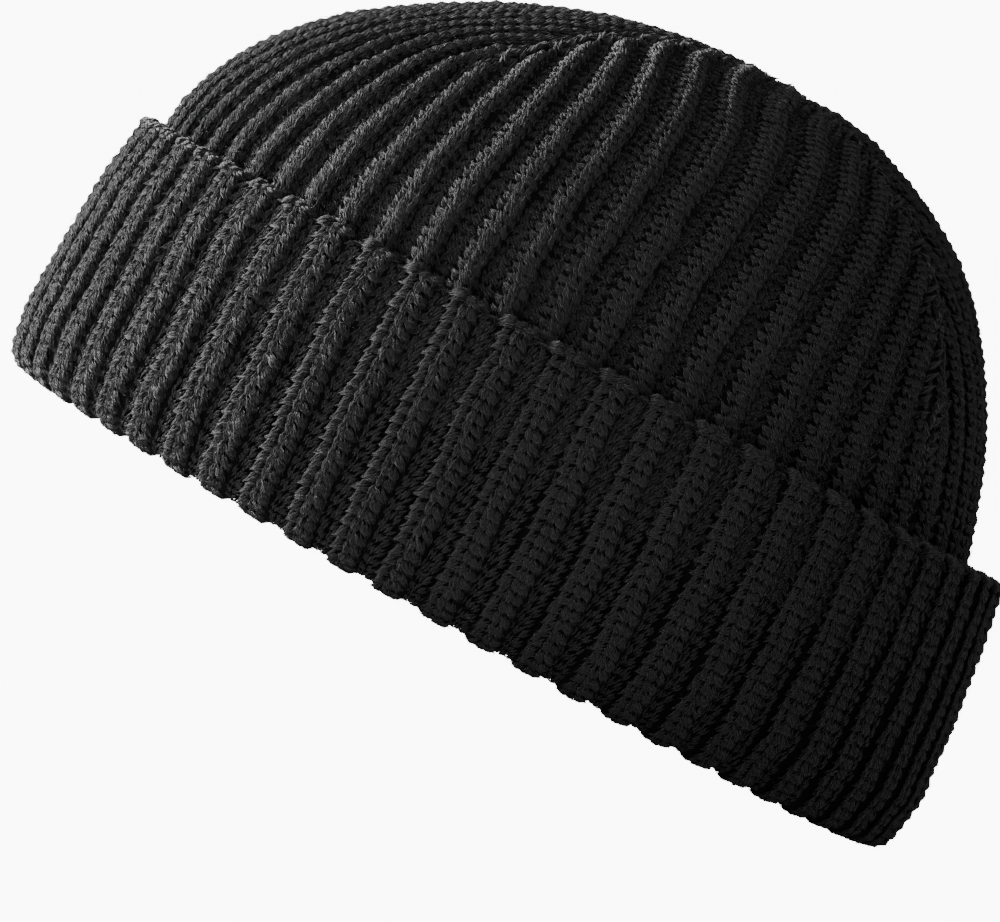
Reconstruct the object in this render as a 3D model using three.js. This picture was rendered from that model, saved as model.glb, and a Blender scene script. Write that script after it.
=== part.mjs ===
// A rib-knitted beanie with a turned-up cuff, in millimetres, +Z up, standing on the fold of its cuff.
// +X points to the back of the head and -X to the forehead. Four darts close the crown.
import * as THREE from "three";

// Driving dimensions
const OVAL = 0.955;                       // width of the hat for its length
const CUFF_HEIGHT = 59.5;                 // from the fold on the table to the cast-on edge, half way along
const LEAN = 0.013;                       // rise of the cast-on edge for each millimetre towards the back
const KNIT = 4.0;                         // thickness of the rib knit, from crest to crest
const CHANNEL = 2.0;                      // depth of a channel between two ribs, on either face
const EDGE_ROUND = 1.0;                   // rounding of the cast-on edge
const LAYER_GAP = 0.4;                    // between the cuff and the band that it is turned up over
const FOOT = 5.0;                         // height of the fold, on which the inner band stands
const FOOT_GAP = 0.3;                     // between the fold and the end of the inner band

// Ribs. Shares and turns are parts of the whole girth, counted from -Y towards +X.
const PANEL_RIBS = [16, 14, 16, 14];      // ribs of the crown's panels: near side, back, far side, forehead
const RIBS = PANEL_RIBS.reduce((sum, ribs) => sum + ribs, 0);
const PANEL_STARTS = PANEL_RIBS.map((_, panel) => (
  PANEL_RIBS.slice(0, panel).reduce((sum, ribs) => sum + ribs, -PANEL_RIBS[0] / 2)
));
const CREST_EDGE = 0.25;                  // a crest's half width, as a share of the rib spacing
const CHANNEL_EDGE = 0.38;                // where its channel begins, from the middle of the crest
const CUFF_TURN = -0.0004;                // place of the cuff's first crest
const PANEL_TURN = 0.018;                 // place of the near panel's middle, where the crown leaves the cuff
const TWIST = 0.1;                        // how strongly the panels turn as the crown's girth is lost
const TWIST_BACK = 0.3;                   // loss of girth that turns them back there, and then past it
const BACK_SPREAD = 0.08;                 // how much wider the crown's ribs stand at the back than half way
const CROWN_SPREAD = 0.004;               // widening of its ribs on the near and far sides, in radians
const FOLD_SPREAD = -0.011;               // the same of the cuff's ribs at the fold
const EDGE_SPREAD = 0.018;                // and at the cast-on edge
const DART_EASE = 0.17;                   // loss of girth that squeezing the ribs can take up below the darts
const DART_CLEAR = 0.06;                  // a column that comes closer to a dart than this ends in it

// Section of the cuff's fold: depths inside the crest surface, and heights
const FOLD_OUTER = 2.6;                   // outer edge of the sole that rests on the table
const FOLD_INNER = 5.8;                   // its inner edge
const FOLD_ROUND = 3.0;                   // height at which the fold's rounding ends
const FOLD_CREST = 0.5;                   // how far the rounding draws the crests in there
const FOLD_CHANNEL = 0.4;                 // and the channels
const SCALLOP = 1.2;                      // how far the sole rises between two ribs
const BAND_DEPTH = KNIT + LAYER_GAP;
const FOOT_DEPTH = BAND_DEPTH + KNIT;

// Outline of the cuff's crests: height, and x at the forehead and at the back
const CUFF_SECTIONS = [
  { z: 0.0, front: -104.9, back: 105.1 },
  { z: 3.0, front: -105.3, back: 105.5 },
  { z: 13.0, front: -107.0, back: 107.0 },
  { z: 29.0, front: -106.8, back: 105.4 },
  { z: 45.0, front: -106.3, back: 102.9 },
  { z: CUFF_HEIGHT, front: -104.4, back: 100.1 },
];
const CUFF_RINGS = [13, 29, 45];

// Outline of the inner band and the crown: height, x at the forehead and at the back, and half width
const CROWN_SECTIONS = [
  { z: FOOT + FOOT_GAP, front: -101.2, back: 101.3, side: 96.5 },
  { z: 22.0, front: -102.4, back: 100.9, side: 97.1 },
  { z: 40.0, front: -101.8, back: 96.9, side: 95.4 },
  { z: CUFF_HEIGHT, front: -99.9, back: 91.1, side: 91.3 },
  { z: 66.0, front: -99.1, back: 89.2, side: 89.9 },
  { z: 74.0, front: -96.6, back: 86.4, side: 87.4 },
  { z: 82.0, front: -92.5, back: 83.2, side: 83.9 },
  { z: 90.0, front: -86.7, back: 79.2, side: 79.2 },
  { z: 98.0, front: -78.6, back: 74.2, side: 73.0 },
  { z: 105.0, front: -69.2, back: 68.9, side: 66.0 },
  { z: 111.0, front: -59.7, back: 63.3, side: 58.7 },
  { z: 116.5, front: -49.6, back: 56.4, side: 50.6 },
  { z: 121.0, front: -39.6, back: 48.5, side: 42.1 },
  { z: 125.1, front: -27.3, back: 39.4, side: 31.8 },
  { z: 128.4, front: -11.8, back: 28.9, side: 19.4 },
  { z: 130.2, front: 8.6, back: 8.6, side: 0.0 },
];

// Places in the crown's table, counted in rows. A ring may lie between two rows.
const BASE_LEVEL = 3;
const APEX_LEVEL = CROWN_SECTIONS.length - 1;
const HIDDEN_LEVELS = [0, 2.3];
const RIBBED_LEVELS = [2.6, 3.6, 4.7, 5.8, 6.9, 8, 9.1, 10.2, 11.3, 12.4, 13.5, 14.5];
const INNER_LEVELS = [0, 1.5, 3, 4.5, 6, 7.5, 9, 10.5, 12, 13.3, 14.4];
const LEVEL_STEP = 0.01;

const YARN = new THREE.Color(0x1c1c1e);
const TURN = 2 * Math.PI;

// A smooth value between the rows of the crown's table. The row past the apex mirrors the last.
function crownValue(level, name) {
  const rows = CROWN_SECTIONS;
  const i = Math.min(Math.floor(level), APEX_LEVEL - 1);
  const t = level - i;
  const mirror = { z: "z", front: "back", back: "front", side: "side" };
  const sign = name === "side" ? -1 : 1;
  const a = i > 0 ? rows[i - 1][name] : 2 * rows[0][name] - rows[1][name];
  const b = rows[i][name];
  const c = rows[i + 1][name];
  const d = i + 2 <= APEX_LEVEL ? rows[i + 2][name] : sign * rows[i][mirror[name]];
  return b + 0.5 * t * (c - a + t * (2 * a - 5 * b + 4 * c - d + t * (3 * b - a - 3 * c + d)));
}

function crownSection(level) {
  const front = crownValue(level, "front");
  const back = crownValue(level, "back");
  const z = crownValue(level, "z");
  return { z, middle: (front + back) / 2, half: (back - front) / 2, side: crownValue(level, "side") };
}

// A straight value between the rows of the cuff's table
function cuffSection(z) {
  const above = Math.max(1, CUFF_SECTIONS.findIndex((row) => row.z >= z));
  const low = CUFF_SECTIONS[above - 1];
  const high = CUFF_SECTIONS[above];
  const t = (z - low.z) / (high.z - low.z);
  const front = low.front + t * (high.front - low.front);
  const back = low.back + t * (high.back - low.back);
  const half = (back - front) / 2;
  return { z, middle: (front + back) / 2, half, side: OVAL * half };
}

function ovalPoint(section, angle) {
  const x = section.middle + section.half * Math.sin(angle);
  return new THREE.Vector3(x, -section.side * Math.cos(angle), section.z);
}

// Angle round an oval for a share of its girth. A positive spread widens the ribs on the near and far sides.
function angleAt(share, spread) {
  const turn = TURN * share;
  return turn + spread * Math.sin(2 * turn);
}

// A point inside the crown's crest surface, by a depth along the surface's normal
function crownPoint(level, share, depth) {
  const spaced = share + (BACK_SPREAD / TURN) * (1 - Math.cos(TURN * share));
  const angle = angleAt(spaced, CROWN_SPREAD);
  const section = crownSection(level);
  const point = ovalPoint(section, angle);
  const round = new THREE.Vector3(section.half * Math.cos(angle), section.side * Math.sin(angle), 0);
  const up = ovalPoint(crownSection(level + LEVEL_STEP), angle).sub(point);
  const normal = round.cross(up);
  if (level <= BASE_LEVEL) {
    normal.setZ(0);
  }
  return point.addScaledVector(normal.normalize(), -depth);
}

// A point inside the cuff's crest surface, by a level depth
function cuffPoint(z, share, depth) {
  const angle = angleAt(share, FOLD_SPREAD + (EDGE_SPREAD - FOLD_SPREAD) * (z / CUFF_HEIGHT));
  const normal = new THREE.Vector3(OVAL * Math.sin(angle), -Math.cos(angle), 0).normalize();
  return ovalPoint(cuffSection(z), angle).addScaledVector(normal, -depth);
}

// The hat stands level on its fold, while its cast-on edge and crown lean a little to the forehead
function lean(point) {
  const share = Math.min(point.z / CUFF_HEIGHT, 1);
  const above = Math.max(point.z - CUFF_HEIGHT, 0);
  return new THREE.Vector3(point.x - LEAN * above, point.y, point.z + LEAN * share * point.x);
}

// A body under construction: its vertices, and triangles between rings of them
class Knit {
  constructor() {
    this.points = [];
    this.faces = [];
  }

  add(point) {
    this.points.push(lean(point));
    return this.points.length - 1;
  }

  face(a, b, c) {
    if (a !== b && b !== c && a !== c) {
      this.faces.push(a, b, c);
    }
  }

  // Triangles between two rows of marks { at, id }, which need not have the same number of marks
  bridge(low, high) {
    let i = 0;
    let j = 0;
    while (i < low.length - 1 || j < high.length - 1) {
      const lowNext = i < low.length - 1 ? low[i + 1].at : Infinity;
      const highNext = j < high.length - 1 ? high[j + 1].at : Infinity;
      if (lowNext <= highNext) {
        this.face(low[i].id, low[i + 1].id, high[j].id);
        i += 1;
      } else {
        this.face(low[i].id, high[j + 1].id, high[j].id);
        j += 1;
      }
    }
  }

  // Rings are lists of rows, one for each panel of the crown and one in all for the cuff
  join(rings) {
    for (let i = 0; i + 1 < rings.length; i += 1) {
      rings[i].forEach((row, panel) => this.bridge(row, rings[i + 1][panel]));
    }
  }

  mesh(name) {
    const geometry = new THREE.BufferGeometry();
    const places = this.points.flatMap((point) => point.toArray());
    geometry.setAttribute("position", new THREE.Float32BufferAttribute(places, 3));
    geometry.setIndex(this.faces);
    geometry.computeVertexNormals();
    const material = new THREE.MeshStandardMaterial({ color: YARN, roughness: 0.95, metalness: 0 });
    const mesh = new THREE.Mesh(geometry, material);
    mesh.name = name;
    return mesh;
  }
}

// Columns of one rib: where they lie, as shares of the rib spacing, and whether on the crest or the channel
const RIB_MARKS = {
  1: [{ at: -0.5, crest: false }],
  2: [{ at: -0.5, crest: false }, { at: 0, crest: true }],
  4: [
    { at: -CHANNEL_EDGE, crest: false },
    { at: -CREST_EDGE, crest: true },
    { at: CREST_EDGE, crest: true },
    { at: CHANNEL_EDGE, crest: false },
  ],
};

function cuffRing(body, perRib, z, crestDepth, channelDepth = crestDepth, rise = 0) {
  const row = [];
  for (let rib = 0; rib < RIBS; rib += 1) {
    for (const mark of RIB_MARKS[perRib]) {
      const at = rib + mark.at;
      const point = cuffPoint(z, CUFF_TURN + at / RIBS, mark.crest ? crestDepth : channelDepth);
      point.z += mark.crest ? 0 : rise;
      row.push({ at, id: body.add(point) });
    }
  }
  row.push({ at: row[0].at + RIBS, id: row[0].id });
  return [row];
}

// The cuff: up its outer face, over the cast-on edge, down to the foot inside the fold, and round the sole
function makeCuff() {
  const body = new Knit();
  const edge = CUFF_HEIGHT - EDGE_ROUND;
  const sole = cuffRing(body, 4, 0, FOLD_OUTER, FOLD_OUTER + FOLD_CREST, SCALLOP);
  body.join([
    sole,
    cuffRing(body, 4, FOLD_ROUND, FOLD_CREST, CHANNEL + FOLD_CHANNEL),
    ...CUFF_RINGS.map((z) => cuffRing(body, 4, z, 0, CHANNEL)),
    cuffRing(body, 4, edge, 0, CHANNEL),
    cuffRing(body, 4, CUFF_HEIGHT, EDGE_ROUND, CHANNEL + FOLD_CHANNEL),
    cuffRing(body, 2, CUFF_HEIGHT, KNIT - EDGE_ROUND),
    ...[edge, ...CUFF_RINGS.toReversed(), FOOT].map((z) => cuffRing(body, 1, z, KNIT)),
    cuffRing(body, 2, FOOT, FOOT_DEPTH - CHANNEL, FOOT_DEPTH),
    cuffRing(body, 2, FOLD_ROUND, FOOT_DEPTH - CHANNEL, FOOT_DEPTH),
    cuffRing(body, 4, 0, FOLD_INNER, FOLD_INNER, SCALLOP),
    sole,
  ]);
  return body.mesh("cuff");
}

// Share of its girth that the crown keeps at a level, 1 where it leaves the cuff
function girthShare(level) {
  const size = ({ half, side }) => half + side;
  return Math.min(1, size(crownSection(Math.max(level, BASE_LEVEL))) / size(crownSection(BASE_LEVEL)));
}

// A column that starts q ribs from its panel's middle lies q - tightness q^2 rib spacings from it. The ribs
// are squeezed together below the darts. Higher up they run on side by side, each until it meets a dart.
function tightness(girth, half) {
  return (DART_EASE / half) * (1 - Math.exp((girth - 1) / DART_EASE));
}

// The column that ends in the dart at a level
function dartColumn(girth, half) {
  const tight = tightness(girth, half);
  return tight > 0 ? (1 - Math.sqrt(1 - 4 * tight * girth * half)) / (2 * tight) : half;
}

// A ring of the crown, as one row of marks for each panel. Neighbouring panels share the point on their dart.
function crownRing(body, level, perRib, crestDepth, channelDepth = crestDepth) {
  const girth = girthShare(level);
  const turn = PANEL_TURN + TWIST * (1 - girth) * (TWIST_BACK - (1 - girth));
  const place = (share, crest) => (
    body.add(crownPoint(level, turn + share, crest ? crestDepth : channelDepth))
  );
  const darts = PANEL_STARTS.map((start) => place(start / RIBS, false));
  return PANEL_RIBS.map((ribs, panel) => {
    const half = ribs / 2;
    const dart = dartColumn(girth, half);
    const tight = tightness(girth, half);
    const row = [{ at: -dart, id: darts[panel] }];
    for (let rib = 0.5 - half; rib < half; rib += 1) {
      for (const mark of RIB_MARKS[perRib]) {
        const at = rib + mark.at;
        if (Math.abs(at) < dart - DART_CLEAR) {
          const squeezed = (at - Math.sign(at) * tight * at * at) / girth;
          row.push({ at, id: place((PANEL_STARTS[panel] + half + squeezed) / RIBS, mark.crest) });
        }
      }
    }
    row.push({ at: dart, id: darts[(panel + 1) % PANEL_RIBS.length] });
    return row;
  });
}

// The crown: up its outer face to the apex, and down its inner face to the end of the inner band
function makeCrown() {
  const body = new Knit();
  const tip = (depth) => {
    const id = body.add(crownPoint(APEX_LEVEL, 0, 0).setZ(CROWN_SECTIONS[APEX_LEVEL].z - depth));
    return PANEL_RIBS.map(() => [{ at: 0, id }]);
  };
  const outside = [
    ...HIDDEN_LEVELS.map((level) => crownRing(body, level, 1, 0)),
    ...RIBBED_LEVELS.map((level) => crownRing(body, level, 4, 0, CHANNEL)),
    tip(0),
  ];
  const inside = [
    tip(KNIT),
    ...INNER_LEVELS.toReversed().map((level) => crownRing(body, level, 2, KNIT - CHANNEL, KNIT)),
    outside[0],
  ];
  body.join(outside);
  body.join(inside);
  return body.mesh("crown");
}

const hat = new THREE.Group();
hat.name = "knit_hat";
hat.add(makeCrown(), makeCuff());

export default hat;
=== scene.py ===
# %% [markdown]
# # A rib-knitted beanie
# A beanie is one knitted tube. Its lower part is turned up into a cuff, and its top is drawn in by darts.
# Its look comes from the knitting itself: thick ribs with a deep channel between them, each rib made of
# slanted strands of yarn. A smooth shell with a bump map could stand in for that, but a bump changes
# neither the outline nor the shadows in the channels. So this notebook lays a dark ground along the shape
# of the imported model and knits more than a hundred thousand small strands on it.

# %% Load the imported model
import math

import bmesh
import bpy
import numpy as np
from mathutils import Matrix, Vector


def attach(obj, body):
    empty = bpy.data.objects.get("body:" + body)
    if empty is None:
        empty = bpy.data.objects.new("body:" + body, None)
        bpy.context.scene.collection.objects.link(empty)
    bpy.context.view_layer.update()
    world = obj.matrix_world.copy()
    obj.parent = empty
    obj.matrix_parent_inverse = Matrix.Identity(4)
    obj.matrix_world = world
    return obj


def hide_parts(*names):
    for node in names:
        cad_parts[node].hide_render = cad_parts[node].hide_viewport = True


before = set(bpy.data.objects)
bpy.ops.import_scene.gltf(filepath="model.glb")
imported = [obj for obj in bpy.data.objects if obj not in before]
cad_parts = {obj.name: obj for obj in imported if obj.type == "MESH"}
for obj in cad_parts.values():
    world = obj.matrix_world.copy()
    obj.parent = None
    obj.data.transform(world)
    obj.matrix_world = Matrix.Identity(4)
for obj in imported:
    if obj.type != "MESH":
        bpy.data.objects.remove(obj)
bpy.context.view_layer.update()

chance = np.random.default_rng(7)

# %% [markdown]
# ## The shape of the hat
# The hat is an oval dome over an oval band. It could be one lofted mesh, but then each strand would have to
# look for its place on that mesh. Here the outline is a short table of heights, with the place of the
# forehead and of the back of the head at each, and functions turn a place in the knitting (how far up, at
# which rib, how high above the fabric) into a point in space. Everything below is laid by them.
#
# OVAL is the cuff's width as a share of its length, LEAN the slope of its upper edge, KNIT the thickness of
# the fabric and ROW the height of a row of stitches. CUFF_TURN and PANEL_TURN say where the ribs start, as
# shares of a full turn. The values with SPREAD in their names crowd the ribs towards the front or the back,
# and the two TWISTs turn the panels a little on their way to the top. DART_EASE bends the ribs into their
# dart, and DART_OVERLAP lets a strand reach a little past it.

# %% Sizes in millimetres
OVAL = 0.955
CUFF_HEIGHT = 59.5
LEAN = 0.013
KNIT = 4.0
ROW = 2.45
RIBS = 60
CUFF_TURN = -0.0004
PANEL_TURN = 0.018
TWIST = 0.1
TWIST_BACK = 0.3
BACK_SPREAD = 0.08
CROWN_SPREAD = 0.004
FOLD_SPREAD = -0.011
EDGE_SPREAD = 0.018
DART_EASE = 0.17
DART_OVERLAP = 0.4
TURN = 2 * math.pi
MM = 0.001

# Each row: height, place of the forehead, place of the back of the head
CUFF_SECTIONS = np.array([
    (0.0, -104.9, 105.1),
    (3.0, -105.3, 105.5),
    (13.0, -107.0, 107.0),
    (29.0, -106.8, 105.4),
    (45.0, -106.3, 102.9),
    (59.5, -104.4, 100.1),
])
# Each row: height, place of the forehead, place of the back of the head, half of the width
CROWN_SECTIONS = np.array([
    (5.3, -101.2, 101.3, 96.5),
    (22.0, -102.4, 100.9, 97.1),
    (40.0, -101.8, 96.9, 95.4),
    (59.5, -99.9, 91.1, 91.3),
    (66.0, -99.1, 89.2, 89.9),
    (74.0, -96.6, 86.4, 87.4),
    (82.0, -92.5, 83.2, 83.9),
    (90.0, -86.7, 79.2, 79.2),
    (98.0, -78.6, 74.2, 73.0),
    (105.0, -69.2, 68.9, 66.0),
    (111.0, -59.7, 63.3, 58.7),
    (116.5, -49.6, 56.4, 50.6),
    (121.0, -39.6, 48.5, 42.1),
    (125.1, -27.3, 39.4, 31.8),
    (128.4, -11.8, 28.9, 19.4),
    (130.2, 8.6, 8.6, 0.0),
])
BASE_LEVEL = 3.0
APEX_LEVEL = len(CROWN_SECTIONS) - 1.0
LAST_LEVEL = APEX_LEVEL - 0.03
print("Ribs", RIBS, "rows of the crown's table", len(CROWN_SECTIONS))

# %% Points on the oval bands
def angle_at(share, spread):
    turn = TURN * share
    return turn + spread * np.sin(2 * turn)


def oval_point(section, angle):
    z, middle, half, side = section
    return np.stack(np.broadcast_arrays(middle + half * np.sin(angle), -side * np.cos(angle), z), -1)


def lean(points):
    x, y, z = points[..., 0], points[..., 1], points[..., 2]
    share = np.minimum(z / CUFF_HEIGHT, 1)
    above = np.maximum(z - CUFF_HEIGHT, 0)
    return np.stack([x - LEAN * above, y, z + LEAN * share * x], -1)


def unit(vectors):
    return vectors / np.linalg.norm(vectors, axis=-1, keepdims=True)


print("The forehead's point of a round 200 mm long:", oval_point((0, 0, 100, 95), angle_at(0.75, 0)).round(1))

# %% Points on the crown
LEVEL_STEP = 0.01
# One more row at each end, for the smooth curve through the table: the last one lies beyond the top
before_first = 2 * CROWN_SECTIONS[0] - CROWN_SECTIONS[1]
after_last = CROWN_SECTIONS[-2][[0, 2, 1, 3]] * [1, 1, 1, -1]
CROWN_ROWS = np.vstack([before_first, CROWN_SECTIONS, after_last])


def crown_section(level):
    level = np.asarray(level, float)
    i = np.clip(np.floor(level).astype(int), 0, len(CROWN_SECTIONS) - 2)
    t = (level - i)[..., None]
    a, b, c, d = CROWN_ROWS[i], CROWN_ROWS[i + 1], CROWN_ROWS[i + 2], CROWN_ROWS[i + 3]
    row = b + 0.5 * t * (c - a + t * (2 * a - 5 * b + 4 * c - d + t * (3 * b - a - 3 * c + d)))
    return row[..., 0], (row[..., 1] + row[..., 2]) / 2, (row[..., 2] - row[..., 1]) / 2, row[..., 3]


def crown_point(level, share, depth):
    level = np.clip(level, 0, LAST_LEVEL)
    angle = angle_at(share + BACK_SPREAD / TURN * (1 - np.cos(TURN * share)), CROWN_SPREAD)
    section = crown_section(level)
    point = oval_point(section, angle)
    flat = np.zeros_like(point[..., 0])
    around = np.stack([section[2] * np.cos(angle) + flat, section[3] * np.sin(angle) + flat, flat], -1)
    up = oval_point(crown_section(level + LEVEL_STEP), angle) - point
    normal = unit(np.cross(around, up))
    return lean(point - normal * np.asarray(depth)[..., None])


base_half, base_side = crown_section(BASE_LEVEL)[2:]


def girth_share(level):
    half, side = crown_section(np.clip(level, BASE_LEVEL, LAST_LEVEL))[2:]
    return np.minimum(1, (half + side) / (base_half + base_side))


print("Behind the cuff's edge the crown is", round(2 * base_half, 1), "by", round(2 * base_side, 1), "mm")

# %% [markdown]
# ## Ribs, panels and darts
# Four panels of ribs make the crown. Towards the top a panel keeps its ribs as wide as they are, and loses
# the outer ones one by one into the dart that it shares with its neighbour. A rib is therefore named by its
# panel and by how many ribs it lies from the panel's middle. The front dart, between the near panel and the
# forehead's, is different: it first runs up beside its ribs, while the forehead's ribs grow narrower.
# The darts could be cut out of a shell and drawn together by a cloth simulation, but that would squash the
# ribs. A formula for the way that each rib takes keeps them whole.

# %% From a rib to a share of the girth
NEAR, BACK, FAR, FRONT = range(4)
PANEL_MIDDLES = (0, 15, 30, 45)
PANEL_SIDES = ((7, 8), (7, 7), (8, 8), (7, 8))
PANEL_HALVES = (8, 7, 8, 7)
FRONT_RIB = 7
FRONT_SPACE = 15
FRONT_SQUEEZE = 0.61
FRONT_OPENS = 0.8
DART_OPENING = 12
TINY = 1e-7
CLIMB_POINTS = 1500


def tightness(girth, half):
    return DART_EASE / half * (1 - np.exp((girth - 1) / DART_EASE))


def front_dart(girth):
    """How far the front dart lies from the near panel's middle: first it follows its ribs, then it stays."""
    half = PANEL_HALVES[NEAR]
    return np.minimum(half, (FRONT_RIB - FRONT_RIB**2 * tightness(girth, half)) / girth)


def crown_side(panel, right, girth):
    """One side of a panel: how its ribs are squeezed, and the column that ends in the dart."""
    if panel == FRONT and right:
        room = (FRONT_SPACE - front_dart(girth)) * girth
        narrow = np.maximum(room / PANEL_SIDES[panel][1], FRONT_SQUEEZE)
        return 0 * girth, narrow, room / narrow
    half = PANEL_HALVES[panel]
    tight = np.maximum(tightness(girth, half), TINY)
    room = girth * (front_dart(girth) if panel == NEAR and not right else half)
    return tight, 1 + 0 * girth, (1 - np.sqrt(np.maximum(0, 1 - 4 * tight * room))) / (2 * tight)


def sides_at(panel, at, girth):
    """The same for columns on both sides, with how far the dart has opened."""
    left, right = crown_side(panel, False, girth), crown_side(panel, True, girth)
    tight, narrow, dart = (np.where(at > 0, to_right, to_left) for to_left, to_right in zip(left, right))
    front = (panel == NEAR) & (at < 0) | (panel == FRONT) & (at > 0)
    opened = np.clip((np.where(front, FRONT_OPENS, 1) - girth) * DART_OPENING, 0, 1)
    return tight, narrow, dart, opened


def crown_share(panel, at, level):
    """The share of the girth where the rib that starts `at` ribs from the panel's middle runs, its distance
    to the dart, and how far the dart has opened."""
    girth = girth_share(level)
    tight, narrow, dart, opened = sides_at(panel, at, girth)
    at = np.clip(at, -dart - DART_OVERLAP, dart + DART_OVERLAP)
    place = (at - np.sign(at) * tight * at * at) * narrow
    turn = PANEL_TURN + TWIST * (1 - girth) * (TWIST_BACK - (1 - girth))
    return turn + (PANEL_MIDDLES[panel] + place / girth) / RIBS, dart - np.abs(at), opened


levels = np.linspace(0, LAST_LEVEL, CLIMB_POINTS)
near_line = oval_point(crown_section(levels), 0 * levels)
steps = np.linalg.norm(np.diff(near_line, axis=0), axis=1)
climb = np.concatenate([[0], np.cumsum(steps)])
climb -= np.interp(BASE_LEVEL, levels, climb)
DOME_TOP = climb[-1]
BAND_END = climb[0]
print("From the cuff's edge to the top along the near side:", round(DOME_TOP, 1), "mm")

# %% The crown as a knitted surface
CROWN_PITCH = 9.8
DART_DIP = 1.5
DART_WIDTH = 0.4


def crown_surface(panel, at, along, height, inside=False):
    level = np.interp(along, climb, levels)
    share, to_dart, opened = crown_share(panel, at, level)
    dip = DART_DIP * opened * np.exp(-((to_dart / DART_WIDTH) ** 2))
    depth = KNIT + height - dip if inside else dip - height
    return crown_point(level, share, depth)


print("Ribs on the crown:", CROWN_PITCH, "mm apart, with darts", DART_DIP, "mm deep")

# %% [markdown]
# ## The way round the cuff
# The cuff is the same knitting, turned up on the outside. It could be a band with bevelled edges, but the
# stitches go round its fold and over its upper edge without a break. So its section is one line, from the
# inner band round the fold, up the outside and over the edge, and a stitch is placed by its distance along
# that line.

# %% The cuff as a knitted surface
FOLD_RADIUS = 4.2
FOLD_MIDDLE = FOLD_RADIUS * math.pi / 2
FOLD_FILL = 0.45
FOLD_REACH = 4
EDGE_RADIUS = 2.0
CUFF_PITCH = 10.9
INNER_FACE = 24.0
ARC_POINTS = 25
LINE_POINTS = 900
half_turn = np.linspace(0, math.pi, ARC_POINTS)
fold_depth = FOLD_RADIUS + FOLD_RADIUS * np.cos(half_turn)
fold_z = FOLD_RADIUS - FOLD_RADIUS * np.sin(half_turn)
fold_line = np.stack([fold_depth, fold_z], -1)
edge_z = CUFF_HEIGHT - EDGE_RADIUS
edge_depth = EDGE_RADIUS - EDGE_RADIUS * np.cos(half_turn)
edge_line = np.stack([edge_depth, edge_z + EDGE_RADIUS * np.sin(half_turn)], -1)
cuff_line = np.vstack([fold_line, edge_line, [[KNIT, edge_z - INNER_FACE]]])
cuff_run = np.concatenate([[0], np.cumsum(np.linalg.norm(np.diff(cuff_line, axis=0), axis=1))])
cuff_s = np.linspace(0, cuff_run[-1], LINE_POINTS)
cuff_depth = np.interp(cuff_s, cuff_run, cuff_line[:, 0])
cuff_z = np.interp(cuff_s, cuff_run, cuff_line[:, 1])
cuff_out = unit(np.stack([np.gradient(cuff_z), np.gradient(cuff_depth)], -1))
EDGE_TOP = cuff_run[len(fold_line) + len(edge_line) // 2]
print("From the inner band round the fold to the cast-on edge:", round(EDGE_TOP, 1), "mm")


def cuff_surface(at, along, height):
    depth = np.interp(along, cuff_s, cuff_depth)
    z = np.interp(along, cuff_s, cuff_z)
    outward = np.interp(along, cuff_s, cuff_out[:, 0])
    upward = np.interp(along, cuff_s, cuff_out[:, 1])
    spread = FOLD_SPREAD + (EDGE_SPREAD - FOLD_SPREAD) * z / CUFF_HEIGHT
    angle = angle_at(CUFF_TURN + at / RIBS, spread)
    front = np.interp(z, CUFF_SECTIONS[:, 0], CUFF_SECTIONS[:, 1])
    back = np.interp(z, CUFF_SECTIONS[:, 0], CUFF_SECTIONS[:, 2])
    half = (back - front) / 2
    height = height * (1 - FOLD_FILL * np.exp(-(((along - FOLD_MIDDLE) / FOLD_REACH) ** 2)))
    point = oval_point((z, (front + back) / 2, half, OVAL * half), angle)
    radial = unit(np.stack([OVAL * np.sin(angle), -np.cos(angle), 0 * angle], -1))
    point = point + radial * (height * outward - depth)[..., None]
    point[..., 2] += height * upward
    return lean(point)

# %% [markdown]
# ## Camera
# The photograph is taken from a good distance, level with the cast-on edge, with the hat tilted in the
# frame. The hat could be turned to match it, but here it stands level, as it does on a table, so the camera
# is rolled instead. The long lens keeps the near ribs from looking larger than the far ones.

# %% Place the camera
ROLL = math.radians(29.45)
EYE = Vector((-0.00453, -1.357, 0.05944))
AIM = Vector((-0.00453, 0.0, 0.0319))
forward = (AIM - EYE).normalized()
level_right = Vector((1, 0, 0))
level_up = level_right.cross(forward)
right = level_right * math.cos(ROLL) + level_up * math.sin(ROLL)
above = -level_right * math.sin(ROLL) + level_up * math.cos(ROLL)
camera_data = bpy.data.cameras.new("camera")
camera_data.sensor_fit = "HORIZONTAL"
camera_data.sensor_width = 36.0
camera_data.lens = 234.0
camera_data.clip_end = 50.0
camera = bpy.data.objects.new("camera", camera_data)
camera.matrix_world = Matrix((
    (right.x, above.x, -forward.x, EYE.x),
    (right.y, above.y, -forward.y, EYE.y),
    (right.z, above.z, -forward.z, EYE.z),
    (0, 0, 0, 1),
))
bpy.context.scene.collection.objects.link(camera)
bpy.context.scene.camera = camera
print("Camera", round((AIM - EYE).length, 3), "m away, lens", camera_data.lens, "mm")

# %% [markdown]
# ## The yarn
# The yarn is a soft charcoal one, spun of several fine plies. Its twist shows as short slanted strokes on
# each strand. A plain noise has no direction and would look like felt. So one node group makes the strokes
# from the strand's own UV map, where U goes round the strand and V along it, and the twist turns with every
# strand. Both materials use the group, the paler one of the strands and the darker one of the ground, whose
# darkness is painted shade deep in the fabric.

# %% Node group of the yarn's twist
def socket(group, name, kind, direction, value=None):
    made = group.interface.new_socket(name=name, in_out=direction, socket_type=kind)
    if value is not None:
        made.default_value = value


def node(tree, kind, place, **settings):
    made = tree.nodes.new(kind)
    made.location = place
    for name, value in settings.items():
        setattr(made, name, value)
    return made


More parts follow.
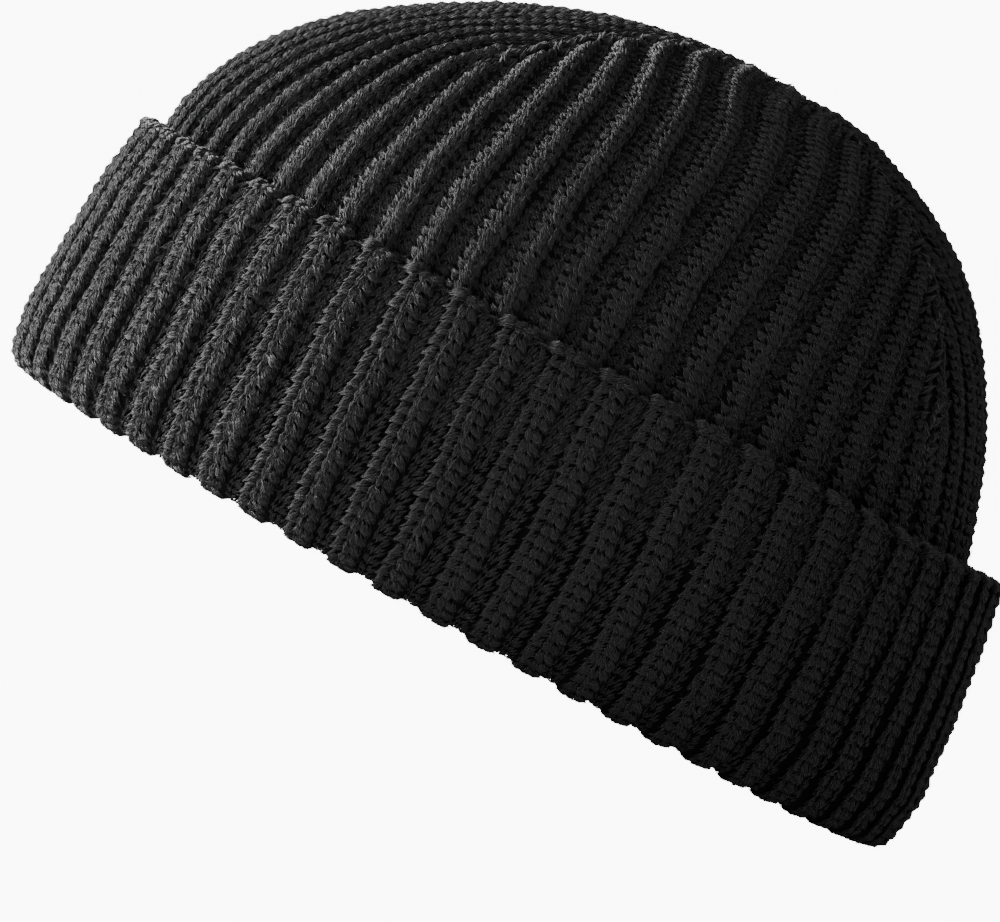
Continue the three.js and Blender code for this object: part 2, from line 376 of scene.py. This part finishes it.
def math_node(tree, operation, place, a, b=None, c=None):
    made = node(tree, "ShaderNodeMath", place, operation=operation)
    for i, value in enumerate((a, b, c)):
        if value is None:
            continue
        if isinstance(value, (int, float)):
            made.inputs[i].default_value = value
        else:
            tree.links.new(value, made.inputs[i])
    return made.outputs[0]


def make_twist_group():
    group = bpy.data.node_groups.new("yarn_twist", "ShaderNodeTree")
    socket(group, "UV", "NodeSocketVector", "INPUT")
    socket(group, "Plies", "NodeSocketFloat", "INPUT", 7.0)
    socket(group, "Twist", "NodeSocketFloat", "INPUT", 3.5)
    socket(group, "Fibre", "NodeSocketFloat", "INPUT", 0.5)
    socket(group, "Shade", "NodeSocketFloat", "INPUT", 0.5)
    socket(group, "Height", "NodeSocketFloat", "OUTPUT")
    socket(group, "Tone", "NodeSocketFloat", "OUTPUT")
    into = node(group, "NodeGroupInput", (-1000, 0))
    out = node(group, "NodeGroupOutput", (900, 0))
    split = node(group, "ShaderNodeSeparateXYZ", (-800, 0))
    group.links.new(into.outputs["UV"], split.inputs[0])
    round_it = math_node(group, "MULTIPLY", (-600, 120), split.outputs[0], into.outputs["Plies"])
    along_it = math_node(group, "MULTIPLY", (-600, -40), split.outputs[1], into.outputs["Twist"])
    phase = math_node(group, "ADD", (-400, 60), round_it, along_it)
    wander = node(group, "ShaderNodeCombineXYZ", (-400, -160))
    group.links.new(phase, wander.inputs[0])
    group.links.new(math_node(group, "MULTIPLY", (-600, -200), split.outputs[1], 0.9), wander.inputs[1])
    group.links.new(math_node(group, "MULTIPLY", (-600, -360), into.outputs["Shade"], 40.0), wander.inputs[2])
    noise = node(group, "ShaderNodeTexNoise", (-200, -160), noise_dimensions="3D")
    noise.inputs["Scale"].default_value = 2.6
    noise.inputs["Detail"].default_value = 4.0
    noise.inputs["Roughness"].default_value = 0.7
    group.links.new(wander.outputs[0], noise.inputs["Vector"])
    ply = math_node(group, "SINE", (-200, 120), math_node(group, "MULTIPLY", (-300, 200), phase, TURN))
    soft_ply = math_node(group, "MULTIPLY_ADD", (0, 120), ply, 0.5, 0.5)
    fibre = math_node(group, "SUBTRACT", (0, -160), noise.outputs[0], 0.5)
    mixed = math_node(group, "MULTIPLY", (180, -160), fibre, into.outputs["Fibre"])
    height = math_node(group, "MULTIPLY_ADD", (360, 60), mixed, 2.0, soft_ply)
    group.links.new(height, out.inputs["Height"])
    ply_tone = math_node(group, "MULTIPLY", (180, 0), soft_ply, 0.45)
    strand_tone = math_node(group, "MULTIPLY_ADD", (360, -160), fibre, 1.6, ply_tone)
    leg_tone = math_node(group, "MULTIPLY", (360, -320), into.outputs["Shade"], 0.5)
    tone = math_node(group, "ADD", (540, -160), strand_tone, leg_tone)
    group.links.new(tone, out.inputs["Tone"])
    return group


twist_group = make_twist_group()
print("Node group", twist_group.name, [item.name for item in twist_group.interface.items_tree])

# %% The yarn's material, and the plainer one of the ground
YARN_DARK = (0.010, 0.010, 0.011, 1)
YARN_PALE = (0.074, 0.074, 0.077, 1)
# The ground's colours are the yarn painted darker: painted shade deep in the fabric between the strands.
GROUND_SHADED_DARK = (0.014, 0.014, 0.0145, 1)
GROUND_SHADED_PALE = (0.018, 0.018, 0.0185, 1)
SHEEN_SHARE = 1.8


def yarn_material(name, dark, pale, bump, gloss):
    material = bpy.data.materials.new(name)
    material.use_nodes = True
    tree = material.node_tree
    shader = tree.nodes["Principled BSDF"]
    shader.location = (500, 0)
    shader.inputs["Roughness"].default_value = 0.9
    shader.inputs["Specular IOR Level"].default_value = gloss
    shader.inputs["Sheen Weight"].default_value = SHEEN_SHARE * gloss
    shader.inputs["Sheen Roughness"].default_value = 0.5
    uv = node(tree, "ShaderNodeUVMap", (-700, 0), uv_map="yarn")
    shade = node(tree, "ShaderNodeAttribute", (-700, -200), attribute_name="shade")
    twist = node(tree, "ShaderNodeGroup", (-450, 0), node_tree=twist_group)
    tree.links.new(uv.outputs[0], twist.inputs["UV"])
    tree.links.new(shade.outputs["Fac"], twist.inputs["Shade"])
    mix = node(tree, "ShaderNodeMix", (-100, 150), data_type="RGBA")
    mix.inputs[6].default_value = dark
    mix.inputs[7].default_value = pale
    tree.links.new(twist.outputs["Tone"], mix.inputs[0])
    tree.links.new(mix.outputs[2], shader.inputs["Base Color"])
    relief = node(tree, "ShaderNodeBump", (100, -200))
    relief.inputs["Strength"].default_value = 1.0
    relief.inputs["Distance"].default_value = bump
    tree.links.new(twist.outputs["Height"], relief.inputs["Height"])
    tree.links.new(relief.outputs[0], shader.inputs["Normal"])
    return material


yarn = yarn_material("charcoal_yarn", YARN_DARK, YARN_PALE, 0.00025, 0.25)
# The ground material's darker colours are painted shade, not a darker yarn.
ground_yarn = yarn_material("charcoal_ground_painted_shade", GROUND_SHADED_DARK, GROUND_SHADED_PALE, 0.00002, 0.08)
print("Materials", yarn.name, ground_yarn.name)

# %% [markdown]
# ## One ply
# The yarn is so loosely spun that each strand shows as a bundle of fine plies, like needles lying side by
# side. Each ply could be a bevelled curve, but so many curves would be slow. So one needle is made from a
# small ball, with a UV map of its own, and everything is knitted out of copies of it. It has only eight
# faces, because there are more than a hundred thousand copies. A fibre of the fuzz is thinner still, a
# needle with three sides.

# %% Make the needle
class Needle:
    """A needle one unit long in Y, one wide in X and one thick in Z, with its UV seam underneath."""

    def __init__(self, sides, rings):
        bm = bmesh.new()
        bmesh.ops.create_uvsphere(bm, u_segments=sides, v_segments=rings + 1, radius=0.5)
        bmesh.ops.rotate(bm, verts=bm.verts, matrix=Matrix.Rotation(-math.pi / 2, 3, "X"))
        ring = min(bm.verts, key=lambda v: (round(abs(v.co.y), 4), v.co.z))
        turn = Matrix.Rotation(math.atan2(ring.co.x, -ring.co.z), 3, "Y")
        bmesh.ops.rotate(bm, verts=bm.verts, matrix=turn)
        bmesh.ops.recalc_face_normals(bm, faces=bm.faces)
        bm.verts.index_update()
        self.points = np.array([v.co for v in bm.verts])
        self.loops = np.array([v.index for face in bm.faces for v in face.verts])
        self.sizes = np.array([len(face.verts) for face in bm.faces])
        uv = []
        for face in bm.faces:
            middle = face.calc_center_median()
            centre = math.atan2(middle.x, middle.z)
            for v in face.verts:
                tip = abs(v.co.x) + abs(v.co.z) < 1e-5
                angle = centre if tip else math.atan2(v.co.x, v.co.z)
                angle += TURN * round((centre - angle) / TURN)
                uv.append((angle / TURN + 0.5, v.co.y + 0.5))
        self.uv = np.array(uv)
        self.triangles = int((self.sizes - 2).sum())
        bm.free()


needle = Needle(4, 1)
hair = Needle(3, 1)
print("Triangles of a needle", needle.triangles, "and of a hair", hair.triangles)

# %% Many needles as one mesh
def knit_mesh(name, shape, points, shade, material):
    """One object of len(points) copies of a needle, whose points are already in place, in millimetres."""
    count, size = points.shape[:2]
    mesh = bpy.data.meshes.new(name)
    mesh.vertices.add(count * size)
    mesh.vertices.foreach_set("co", (points * MM).astype(np.float32).ravel())
    loops = (shape.loops[None] + size * np.arange(count)[:, None]).ravel()
    mesh.loops.add(len(loops))
    mesh.loops.foreach_set("vertex_index", loops.astype(np.int32))
    sizes = np.tile(shape.sizes, count)
    mesh.polygons.add(len(sizes))
    mesh.polygons.foreach_set("loop_start", (np.cumsum(sizes) - sizes).astype(np.int32))
    mesh.update(calc_edges=True)
    mesh.polygons.foreach_set("use_smooth", np.ones(len(sizes), bool))
    layer = mesh.uv_layers.new(name="yarn")
    layer.data.foreach_set("uv", np.tile(shape.uv, (count, 1)).astype(np.float32).ravel())
    tone = mesh.attributes.new("shade", "FLOAT", "POINT")
    tone.data.foreach_set("value", np.repeat(shade, size).astype(np.float32))
    mesh.materials.append(material)
    piece = bpy.data.objects.new(name, mesh)
    bpy.context.scene.collection.objects.link(piece)
    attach(piece, "root")
    print(name, count, "needles", shape.triangles * count, "triangles")

# %% [markdown]
# ## How a rib is knitted
# A real stitch is one loop of yarn drawn through another. Whole loops would take many times the faces, and
# only their legs show, so a stitch is made as its two legs alone. A rib is two stitches wide, so each of its
# rows has four legs, and each leg is a bundle of plies.
#
# The tables give how each leg lies: its place across the rib, its tilt (positive leans to the left at the
# top), the slope of the flank that it lies on, its length, the width of the bundle, how much its plies fan
# out (positive draws them together at the lower end), how many they are and how thick, how deep the leg
# sinks into the fabric, and how much its ends dip. Lengths are in millimetres and angles in degrees.
# The cuff shows its stitches upside down, because it is turned up. The channels have tables of their own,
# whose legs lie deep and are painted darker, as painted shade in the channels; so is every leg that sinks
# deep.

# %% Tables of the legs
LEG_COLUMNS = ("place", "tilt", "slope", "length", "spread", "fan", "plies", "thick", "sink", "bow")


def table(*rows):
    return [dict(zip(LEG_COLUMNS, row)) for row in rows]


CUFF_LEGS = table(
    (-2.60, -58, 0, 4.1, 2.1, 64, 5, 0.66, 0.50, 0.25),
    (-0.50, -14, 4, 4.0, 1.7, 10, 4, 0.68, 0.30, 0.45),
    (1.25, 32, -14, 4.0, 1.5, 16, 5, 0.62, 0.50, 0.35),
    (2.20, 16, -68, 3.4, 1.3, 0, 3, 0.64, 1.55, 0.30),
)
CUFF_CHANNEL = table(
    (3.75, -30, 0, 3.2, 2.1, 10, 3, 0.68, 2.15, 0.35),
    (5.60, -46, 0, 3.4, 2.1, 20, 3, 0.68, 2.00, 0.35),
)
CROWN_LEGS = table(
    (-1.70, 46, 12, 3.9, 1.5, -50, 5, 0.62, 0.80, 0.30),
    (0.30, 18, 2, 4.5, 2.1, 0, 5, 0.70, 0.25, 0.35),
    (1.95, -5, -20, 4.6, 0.9, 0, 3, 0.64, 0.50, 0.35),
    (2.60, -14, -68, 4.0, 2.0, 0, 4, 0.67, 1.65, 0.30),
)
CROWN_CHANNEL = table(
    (3.95, 30, 0, 3.1, 2.0, -10, 3, 0.66, 2.40, 0.30),
    (5.95, 42, 0, 3.3, 2.0, -20, 3, 0.66, 2.30, 0.30),
)
print("Plies in a row of a crown's rib:", sum(leg["plies"] for leg in CROWN_LEGS))

# %% Chance in the knitting
WOBBLES = {
    "ply_size": 0.1,
    "ply_turn": 5.0,
    "ply_across": 0.05,
    "ply_along": 0.16,
    "ply_height": 0.07,
    "ply_shade": 0.17,
    "leg_tilt": 4.0,
    "leg_place": 0.12,
    "leg_height": 0.07,
    "leg_shade": 0.1,
    "fibre_across": 0.05,
}


def wobble(shape, what):
    return WOBBLES[what] * chance.standard_normal(shape)


print("Things that vary by chance:", ", ".join(WOBBLES))

# %% Lay the needles of many legs
PLY_TWIST = 9.0
PLY_WIDTH = 1.25
BUNDLE_ROUND = 1.2
# Painted shade: legs that sink deeper than SUNK_FROM are painted darker by the next value per millimetre, in
# channels and on flanks.
SUNK_FROM = 1.2
SUNK_PAINTED_SHADE = 0.28


def turned(a, b, angle):
    return a * np.cos(angle) - b * np.sin(angle), a * np.sin(angle) + b * np.cos(angle)


def lay_legs(legs, leg):
    """Local X, Y and height of the needles of many like legs, as arrays of legs x needles x points."""
    plies = leg["plies"]
    each_leg, each_ply = (legs, 1, 1), (legs, plies, 1)
    across = (np.arange(plies)[None, :, None] + 0.5) / plies - 0.5
    x = needle.points[:, 0] * leg["thick"] * PLY_WIDTH
    y = needle.points[:, 1] * leg["length"] * (1 + wobble(each_ply, "ply_size"))
    z = needle.points[:, 2] * leg["thick"] * (1 + wobble(each_ply, "ply_size"))
    z = z - leg["bow"] * (2 * y / leg["length"]) ** 2
    x, y = turned(x, y, np.radians(PLY_TWIST - leg["fan"] * across + wobble(each_ply, "ply_turn")))
    x = x + across * leg["spread"] + wobble(each_ply, "ply_across")
    y = y + wobble(each_ply, "ply_along")
    z = z - BUNDLE_ROUND * across**2 * leg["spread"] / 2 + wobble(each_ply, "ply_height")
    x, y = turned(x, y, np.radians(leg["tilt"] + wobble(each_leg, "leg_tilt")))
    x, z = turned(x, z, math.radians(leg["slope"]))
    x = x + leg["place"] + wobble(each_leg, "leg_place")
    y = y + wobble(each_leg, "leg_place")
    z = z - leg["sink"] + wobble(each_leg, "leg_height")
    return x, y, z


def shades(legs, leg):
    """How pale each needle is: a share for its leg and a share of its own, and darker for sunken ones as
    painted shade.
    """
    # Painted shade: the deeper a leg sinks into the channel, the darker its needles are painted.
    middle = 0.5 - SUNK_PAINTED_SHADE * max(0, leg["sink"] - SUNK_FROM)
    own = wobble((legs, 1), "leg_shade"), wobble((legs, leg["plies"]), "ply_shade")
    return np.clip(middle + own[0] + own[1], 0, 1).ravel()

# %% Knit the cuff's ribs
SWAYS = ((0.22, 7.3, 2.1), (0.15, 3.1, 4.7))
BELOW_EDGE = 0.8
BELOW_LOOPS = 3.6
QUARTER = RIBS // 4


def rib_sway(rib, along):
    """Ribs don't run quite straight: two sways, each with a size, a length and a shift from rib to rib."""
    return sum(size * np.sin(along / length + shift * rib) for size, length, shift in SWAYS)


def knit_cuff(name, legs, ribs, rows):
    rib, along = (grid.ravel()[:, None, None] for grid in np.meshgrid(ribs, rows, indexing="ij"))
    parts, tones = [], []
    for leg in legs:
        x, y, height = lay_legs(len(rib), leg)
        points = cuff_surface(rib + (x + rib_sway(rib, along)) / CUFF_PITCH, along + y, height)
        parts.append(points.reshape(-1, len(needle.points), 3))
        tones.append(shades(len(rib), leg))
    knit_mesh(name, needle, np.concatenate(parts), np.concatenate(tones), yarn)


def rows_of(first, last, row=ROW):
    return np.arange(first + row / 2, last, row)


outer_rows = rows_of(0.0, EDGE_TOP - BELOW_EDGE)
knit_cuff("cuff_ribs_near", CUFF_LEGS, np.arange(-QUARTER, QUARTER), outer_rows)
knit_cuff("cuff_ribs_far", CUFF_LEGS, np.arange(QUARTER, 3 * QUARTER), outer_rows)
knit_cuff("cuff_channels", CUFF_CHANNEL, np.arange(RIBS), rows_of(0.0, EDGE_TOP - BELOW_LOOPS))

# %% Knit the crown's ribs
DART_GAPS = (0.32, 0.12, 0.12, 0.05)
INSIDE_GAP = -0.01


def knit_crown(name, legs, panels, first, last, row=ROW, inside=False):
    parts, tones = [], []
    rows = rows_of(first, last, row)
    side = -1 if inside else 1
    for panel in panels:
        gap = INSIDE_GAP if inside else DART_GAPS[panel]
        left, right = PANEL_SIDES[panel]
        ribs = np.arange(-left, right + 1) if inside else np.arange(0.5 - left, right)
        rib, along = (grid.ravel()[:, None, None] for grid in np.meshgrid(ribs, rows, indexing="ij"))
        girth = girth_share(np.interp(along, climb, levels))
        for leg in legs:
            centre = rib + side * leg["place"] / CROWN_PITCH
            dart = sides_at(panel, centre, girth)[2]
            keep = (np.abs(centre) < dart - gap)[:, 0, 0]
            x, y, height = lay_legs(keep.sum(), leg)
            at = rib[keep] + side * (x + rib_sway(rib[keep], along[keep])) / CROWN_PITCH
            points = crown_surface(panel, at, along[keep] + y, height, inside)
            parts.append(points.reshape(-1, len(needle.points), 3))
            tones.append(shades(keep.sum(), leg))
    knit_mesh(name, needle, np.concatenate(parts), np.concatenate(tones), yarn)


HIDDEN = 16.0
knit_crown("crown_ribs_near", CROWN_LEGS, (NEAR, FRONT), -HIDDEN, DOME_TOP)
knit_crown("crown_ribs_far", CROWN_LEGS, (BACK, FAR), -HIDDEN, DOME_TOP)
knit_crown("crown_channels", CROWN_CHANNEL, range(4), -HIDDEN, DOME_TOP)

# %% [markdown]
# ## The cast-on edge
# The knitting began at the cuff's upper edge. There a round of loops lies along the edge, and over each
# channel one of them bridges from rib to rib and curls up onto the crest. A plain hem would be quicker, but
# these loops give the edge its scalloped line, so they are knitted as the ribs are, from a table.

# %% Lay the cast-on loops
EDGE_LEGS = table(
    (-5.40, -88, 0, 4.6, 1.4, 0, 3, 0.70, 1.40, 0.35),
    (-3.20, -66, 8, 4.6, 2.5, 30, 7, 0.75, -0.35, 0.60),
    (-0.40, 84, 0, 4.0, 1.5, 0, 4, 0.70, 0.00, 0.40),
    (2.20, 58, -12, 4.2, 1.8, 20, 5, 0.72, 0.20, 0.45),
)
EDGE_ROWS = EDGE_TOP + np.array([-1.3, 0.6])
knit_cuff("cuff_cast_on", EDGE_LEGS, np.arange(RIBS), EDGE_ROWS)

# %% [markdown]
# ## The fuzz
# Short fibres stand out of the yarn all over, which softens every outline. A hair system could grow them,
# but hair isn't a mesh, and the export would lose it. So they are thin three-sided needles, scattered at
# random over the ribs and lifted a little at one end.

# %% Scatter the fibres
FIBRE_THICK = 0.09
FIBRE_LENGTHS = (1.6, 3.4)
FIBRE_LIFT = 16
FIBRE_PLACES = (-4.2, 3.8)
FIBRE_SHADE = 0.8
FUZZ_START = 3
FUZZ_GAP = 0.3
RIB_TOP = 0.25
RIB_FALL = 0.13
RIB_ROUND = 1.6


def lay_fibres(count):
    """Local X, Y and height of single fibres, with random lengths, turns and lifts."""
    one = (count, 1)
    y = hair.points[:, 1] * chance.uniform(*FIBRE_LENGTHS, one)
    x = hair.points[:, 0] * FIBRE_THICK + wobble(one, "fibre_across")
    z = hair.points[:, 2] * FIBRE_THICK
    lift = np.radians(chance.uniform(0, FIBRE_LIFT, one))
    y, z = y * np.cos(lift), z + y * np.sin(lift)
    return *turned(x, y, chance.uniform(0, TURN, one)), z


def fibre_spot(count):
    """A random place across a rib, and the height of its surface there."""
    across = chance.uniform(*FIBRE_PLACES, (count, 1))
    return across, RIB_TOP - RIB_FALL * np.abs(across) ** RIB_ROUND


def fuzz_cuff(name, count):
    x, y, z = lay_fibres(count)
    across, surface = fibre_spot(count)
    rib = chance.integers(0, RIBS, (count, 1))
    along = chance.uniform(FUZZ_START, EDGE_TOP, (count, 1))
    points = cuff_surface(rib + (across + x) / CUFF_PITCH, along + y, surface + z)
    knit_mesh(name, hair, points, np.full(count, FIBRE_SHADE), yarn)


def fuzz_crown(name, count):
    x, y, z = lay_fibres(count)
    across, surface = fibre_spot(count)
    panel = chance.choice(len(PANEL_SIDES), count, p=np.sum(PANEL_SIDES, axis=1) / RIBS)
    along = DOME_TOP * (1 - np.sqrt(chance.uniform(0, 1, (count, 1))))
    parts = []
    for number, (left, right) in enumerate(PANEL_SIDES):
        here = panel == number
        rib = chance.integers(0, left + right, (here.sum(), 1)) + 0.5 - left
        dart = sides_at(number, rib, girth_share(np.interp(along[here], climb, levels)))[2]
        at = rib + (across[here] + x[here]) / CROWN_PITCH
        keep = (np.abs(rib) < dart - FUZZ_GAP)[:, 0]
        up = along[here][keep] + y[here][keep]
        height = surface[here][keep] + z[here][keep]
        parts.append(crown_surface(number, at[keep], up, height))
    points = np.concatenate(parts)
    knit_mesh(name, hair, points, np.full(len(points), FIBRE_SHADE), yarn)


fuzz_cuff("cuff_fuzz", 3600)
fuzz_crown("crown_fuzz", 5200)

# %% [markdown]
# ## The ground
# Between the strands one would look through the hat, so a dark ribbed ground lies under them, painted darker
# than the yarn as painted shade deep in the fabric. The packed model's faces can't serve, because they lie as
# high as the strands and would hide them. So the ground is a flat grid, fine enough for narrow ribs, whose
# points are then moved onto the hat below the strands.

# %% Bend a grid over the hat
CREST_DEPTH = 1.05
CREST_HALF = 0.17
FLANK = 0.14
GRID_PER_RIB = 6
GROUND_WEAVE = 0.7
GROUND_SHADE = 0.5
DOUBLES = 2e-6


def rib_depth(at, channel, wider=0):
    """The depth of the ground below the fabric's face: CREST_DEPTH on a rib and more in a channel."""
    across = np.abs(at - np.round(at))
    t = np.clip((across - CREST_HALF - wider) / FLANK, 0, 1)
    return CREST_DEPTH + (channel - CREST_DEPTH) * t * t * (3 - 2 * t)


def ground_piece(name, across, along, place):
    bm = bmesh.new()
    bmesh.ops.create_grid(bm, x_segments=across, y_segments=along, size=0.5)
    uv_layer = bm.loops.layers.uv.new("yarn")
    for face in bm.faces:
        for loop in face.loops:
            here = loop.vert.co
            loop[uv_layer].uv = (here.x * across * GROUND_WEAVE, here.y * along * GROUND_WEAVE)
    flat = np.array([v.co for v in bm.verts])
    placed = place(flat[:, 0] + 0.5, flat[:, 1] + 0.5) * MM
    for v, point in zip(bm.verts, placed):
        v.co = point
    bmesh.ops.remove_doubles(bm, verts=bm.verts, dist=DOUBLES)
    mesh = bpy.data.meshes.new(name)
    bm.to_mesh(mesh)
    bm.free()
    mesh.polygons.foreach_set("use_smooth", np.ones(len(mesh.polygons), bool))
    tone = mesh.attributes.new("shade", "FLOAT", "POINT")
    tone.data.foreach_set("value", np.full(len(mesh.vertices), GROUND_SHADE, np.float32))
    mesh.materials.append(ground_yarn)
    piece = bpy.data.objects.new(name, mesh)
    bpy.context.scene.collection.objects.link(piece)
    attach(piece, "root")
    print(name, len(mesh.polygons), "faces")
    return piece

# %% The cuff's ground
CUFF_CHANNEL_DEPTH = 3.0
CUFF_CREST_SHIFT = 0.05
CUFF_GROUND_ROWS = 34
FOLD_WIDER = 0.1
FOLD_WIDER_REACH = 6


def cuff_ground_place(u, v):
    at = u * RIBS - 0.5
    along = v * EDGE_TOP
    wider = FOLD_WIDER * np.exp(-(((along - FOLD_MIDDLE) / FOLD_WIDER_REACH) ** 2))
    return cuff_surface(at, along, -rib_depth(at + CUFF_CREST_SHIFT, CUFF_CHANNEL_DEPTH, wider))


cuff_ground = ground_piece("cuff_ground", RIBS * GRID_PER_RIB, CUFF_GROUND_ROWS, cuff_ground_place)
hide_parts("cuff")

# %% The crown's ground, closed along the darts and at the top
CROWN_CHANNEL_DEPTH = 2.9
CROWN_CREST_SHIFT = 0.55
CROWN_GROUND_ROWS = 56
LAST_ROW = 0.999
DART_DEPTH = 1.3
SEAM_WIDTH = 0.2
SEAM_CLOSES = 3
pole = lean(np.array([CROWN_SECTIONS[-1][1], 0.0, CROWN_SECTIONS[-1][0] - DART_DIP - DART_DEPTH]))


def crown_ground_place(panel):
    def place(u, v):
        along = BAND_END + v * (DOME_TOP - BAND_END)
        girth = girth_share(np.interp(along, climb, levels))
        left, right = crown_side(panel, False, girth)[2], crown_side(panel, True, girth)[2]
        at = u * right - (1 - u) * left
        dart, opened = sides_at(panel, at, girth)[2:]
        depth = rib_depth(at - CROWN_CREST_SHIFT, CROWN_CHANNEL_DEPTH)
        to_seam = (dart - np.abs(at)) / SEAM_WIDTH
        blend = np.clip(opened * SEAM_CLOSES, 0, 1) * np.exp(-(to_seam**2))
        points = crown_surface(panel, at, along, -(depth + (DART_DEPTH - depth) * blend))
        points[v > LAST_ROW] = pole
        return points

    return place


for panel, side in enumerate(("near", "back", "far", "front")):
    columns = sum(PANEL_SIDES[panel]) * GRID_PER_RIB
    piece = ground_piece(f"crown_ground_{side}", columns, CROWN_GROUND_ROWS, crown_ground_place(panel))
    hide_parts("crown")

# %% [markdown]
# ## The inside
# A two by two rib looks the same from both sides: where the outside has a channel, the inside has a rib.
# The outer strands could be mirrored through the fabric, but the inside is seen only from below, so its
# strands are simpler, with one thick ply for each leg. They lie on the same formula, half a rib further.

# %% Knit the inside
INNER_LEGS = table(
    (-2.3, 40, 30, 4.8, 0, 0, 1, 1.7, 1.2, 0.4),
    (-0.75, -20, 5, 5.0, 0, 0, 1, 1.7, 0.9, 0.4),
    (0.75, 20, -5, 5.0, 0, 0, 1, 1.7, 0.9, 0.4),
    (2.3, -40, -30, 4.8, 0, 0, 1, 1.7, 1.2, 0.4),
)
INNER_ROW = 3.1
BEHIND_EDGE = 1.5
knit_crown("crown_inside", INNER_LEGS, range(4), BAND_END, DOME_TOP, INNER_ROW, True)
inner_rows = rows_of(EDGE_TOP + BEHIND_EDGE, cuff_s[-1], INNER_ROW)
knit_cuff("cuff_inner_face", INNER_LEGS, np.arange(RIBS) + 0.5, inner_rows)

# %% [markdown]
# ## Floor, light and background
# A pale floor and a soft light from the forehead's side, as in a studio. A picture of a sky could light the
# hat as well, but a few soft lamps are easier to place, and one strong light that grazes the ribs shows how
# deep the channels are. The background is white to the camera and dimmer to everything else, so that the
# dark yarn keeps its shadows.

# %% Floor
PAPER_WHITE = 10.0
FLOOR_HALF = 6.0
bm = bmesh.new()
bmesh.ops.create_grid(bm, x_segments=1, y_segments=1, size=FLOOR_HALF)
floor_mesh = bpy.data.meshes.new("floor")
bm.to_mesh(floor_mesh)
bm.free()
floor = bpy.data.objects.new("floor", floor_mesh)
bpy.context.scene.collection.objects.link(floor)
floor_paint = bpy.data.materials.new("floor_paint")
floor_paint.use_nodes = True
tree = floor_paint.node_tree
shader = tree.nodes["Principled BSDF"]
shader.inputs["Base Color"].default_value = (0.9, 0.9, 0.9, 1)
shader.inputs["Roughness"].default_value = 0.9
shader.inputs["Emission Color"].default_value = (1, 1, 1, 1)
ray = node(tree, "ShaderNodeLightPath", (-600, -200))
paper = math_node(tree, "MULTIPLY", (-300, -200), ray.outputs["Is Camera Ray"], PAPER_WHITE)
tree.links.new(paper, shader.inputs["Emission Strength"])
floor_mesh.materials.append(floor_paint)
print("Floor", 2 * FLOOR_HALF, "m square")

# %% Lights and background
AROUND = 0.14


def area_light(name, place, aim, wide, high, power):
    data = bpy.data.lights.new(name, "AREA")
    data.shape = "ELLIPSE"
    data.size = wide
    data.size_y = high
    data.energy = power
    light = bpy.data.objects.new(name, data)
    direction = Vector(aim) - Vector(place)
    light.matrix_world = Matrix.Translation(place) @ direction.to_track_quat("-Z", "Y").to_matrix().to_4x4()
    bpy.context.scene.collection.objects.link(light)
    print("Light", name, power, "W")


area_light("key", (-1.6, 0.5, 0.1), (0, 0, 0.06), 1.3, 0.26, 122)
area_light("side", (-1.3, -1.0, 0.2), (0, 0, 0.05), 0.9, 0.3, 3)
area_light("fill", (0.4, -1.8, 0.3), (0, 0, 0.05), 1.2, 0.5, 0.8)

world = bpy.data.worlds.new("studio")
bpy.context.scene.world = world
world.use_nodes = True
tree = world.node_tree
shell = tree.nodes["Background"]
shell.inputs["Color"].default_value = (1, 1, 1, 1)
ray = node(tree, "ShaderNodeLightPath", (-600, 200))
strength = node(tree, "ShaderNodeMapRange", (-300, 200))
strength.inputs["To Min"].default_value = AROUND
strength.inputs["To Max"].default_value = PAPER_WHITE
tree.links.new(ray.outputs["Is Camera Ray"], strength.inputs["Value"])
tree.links.new(strength.outputs[0], shell.inputs["Strength"])
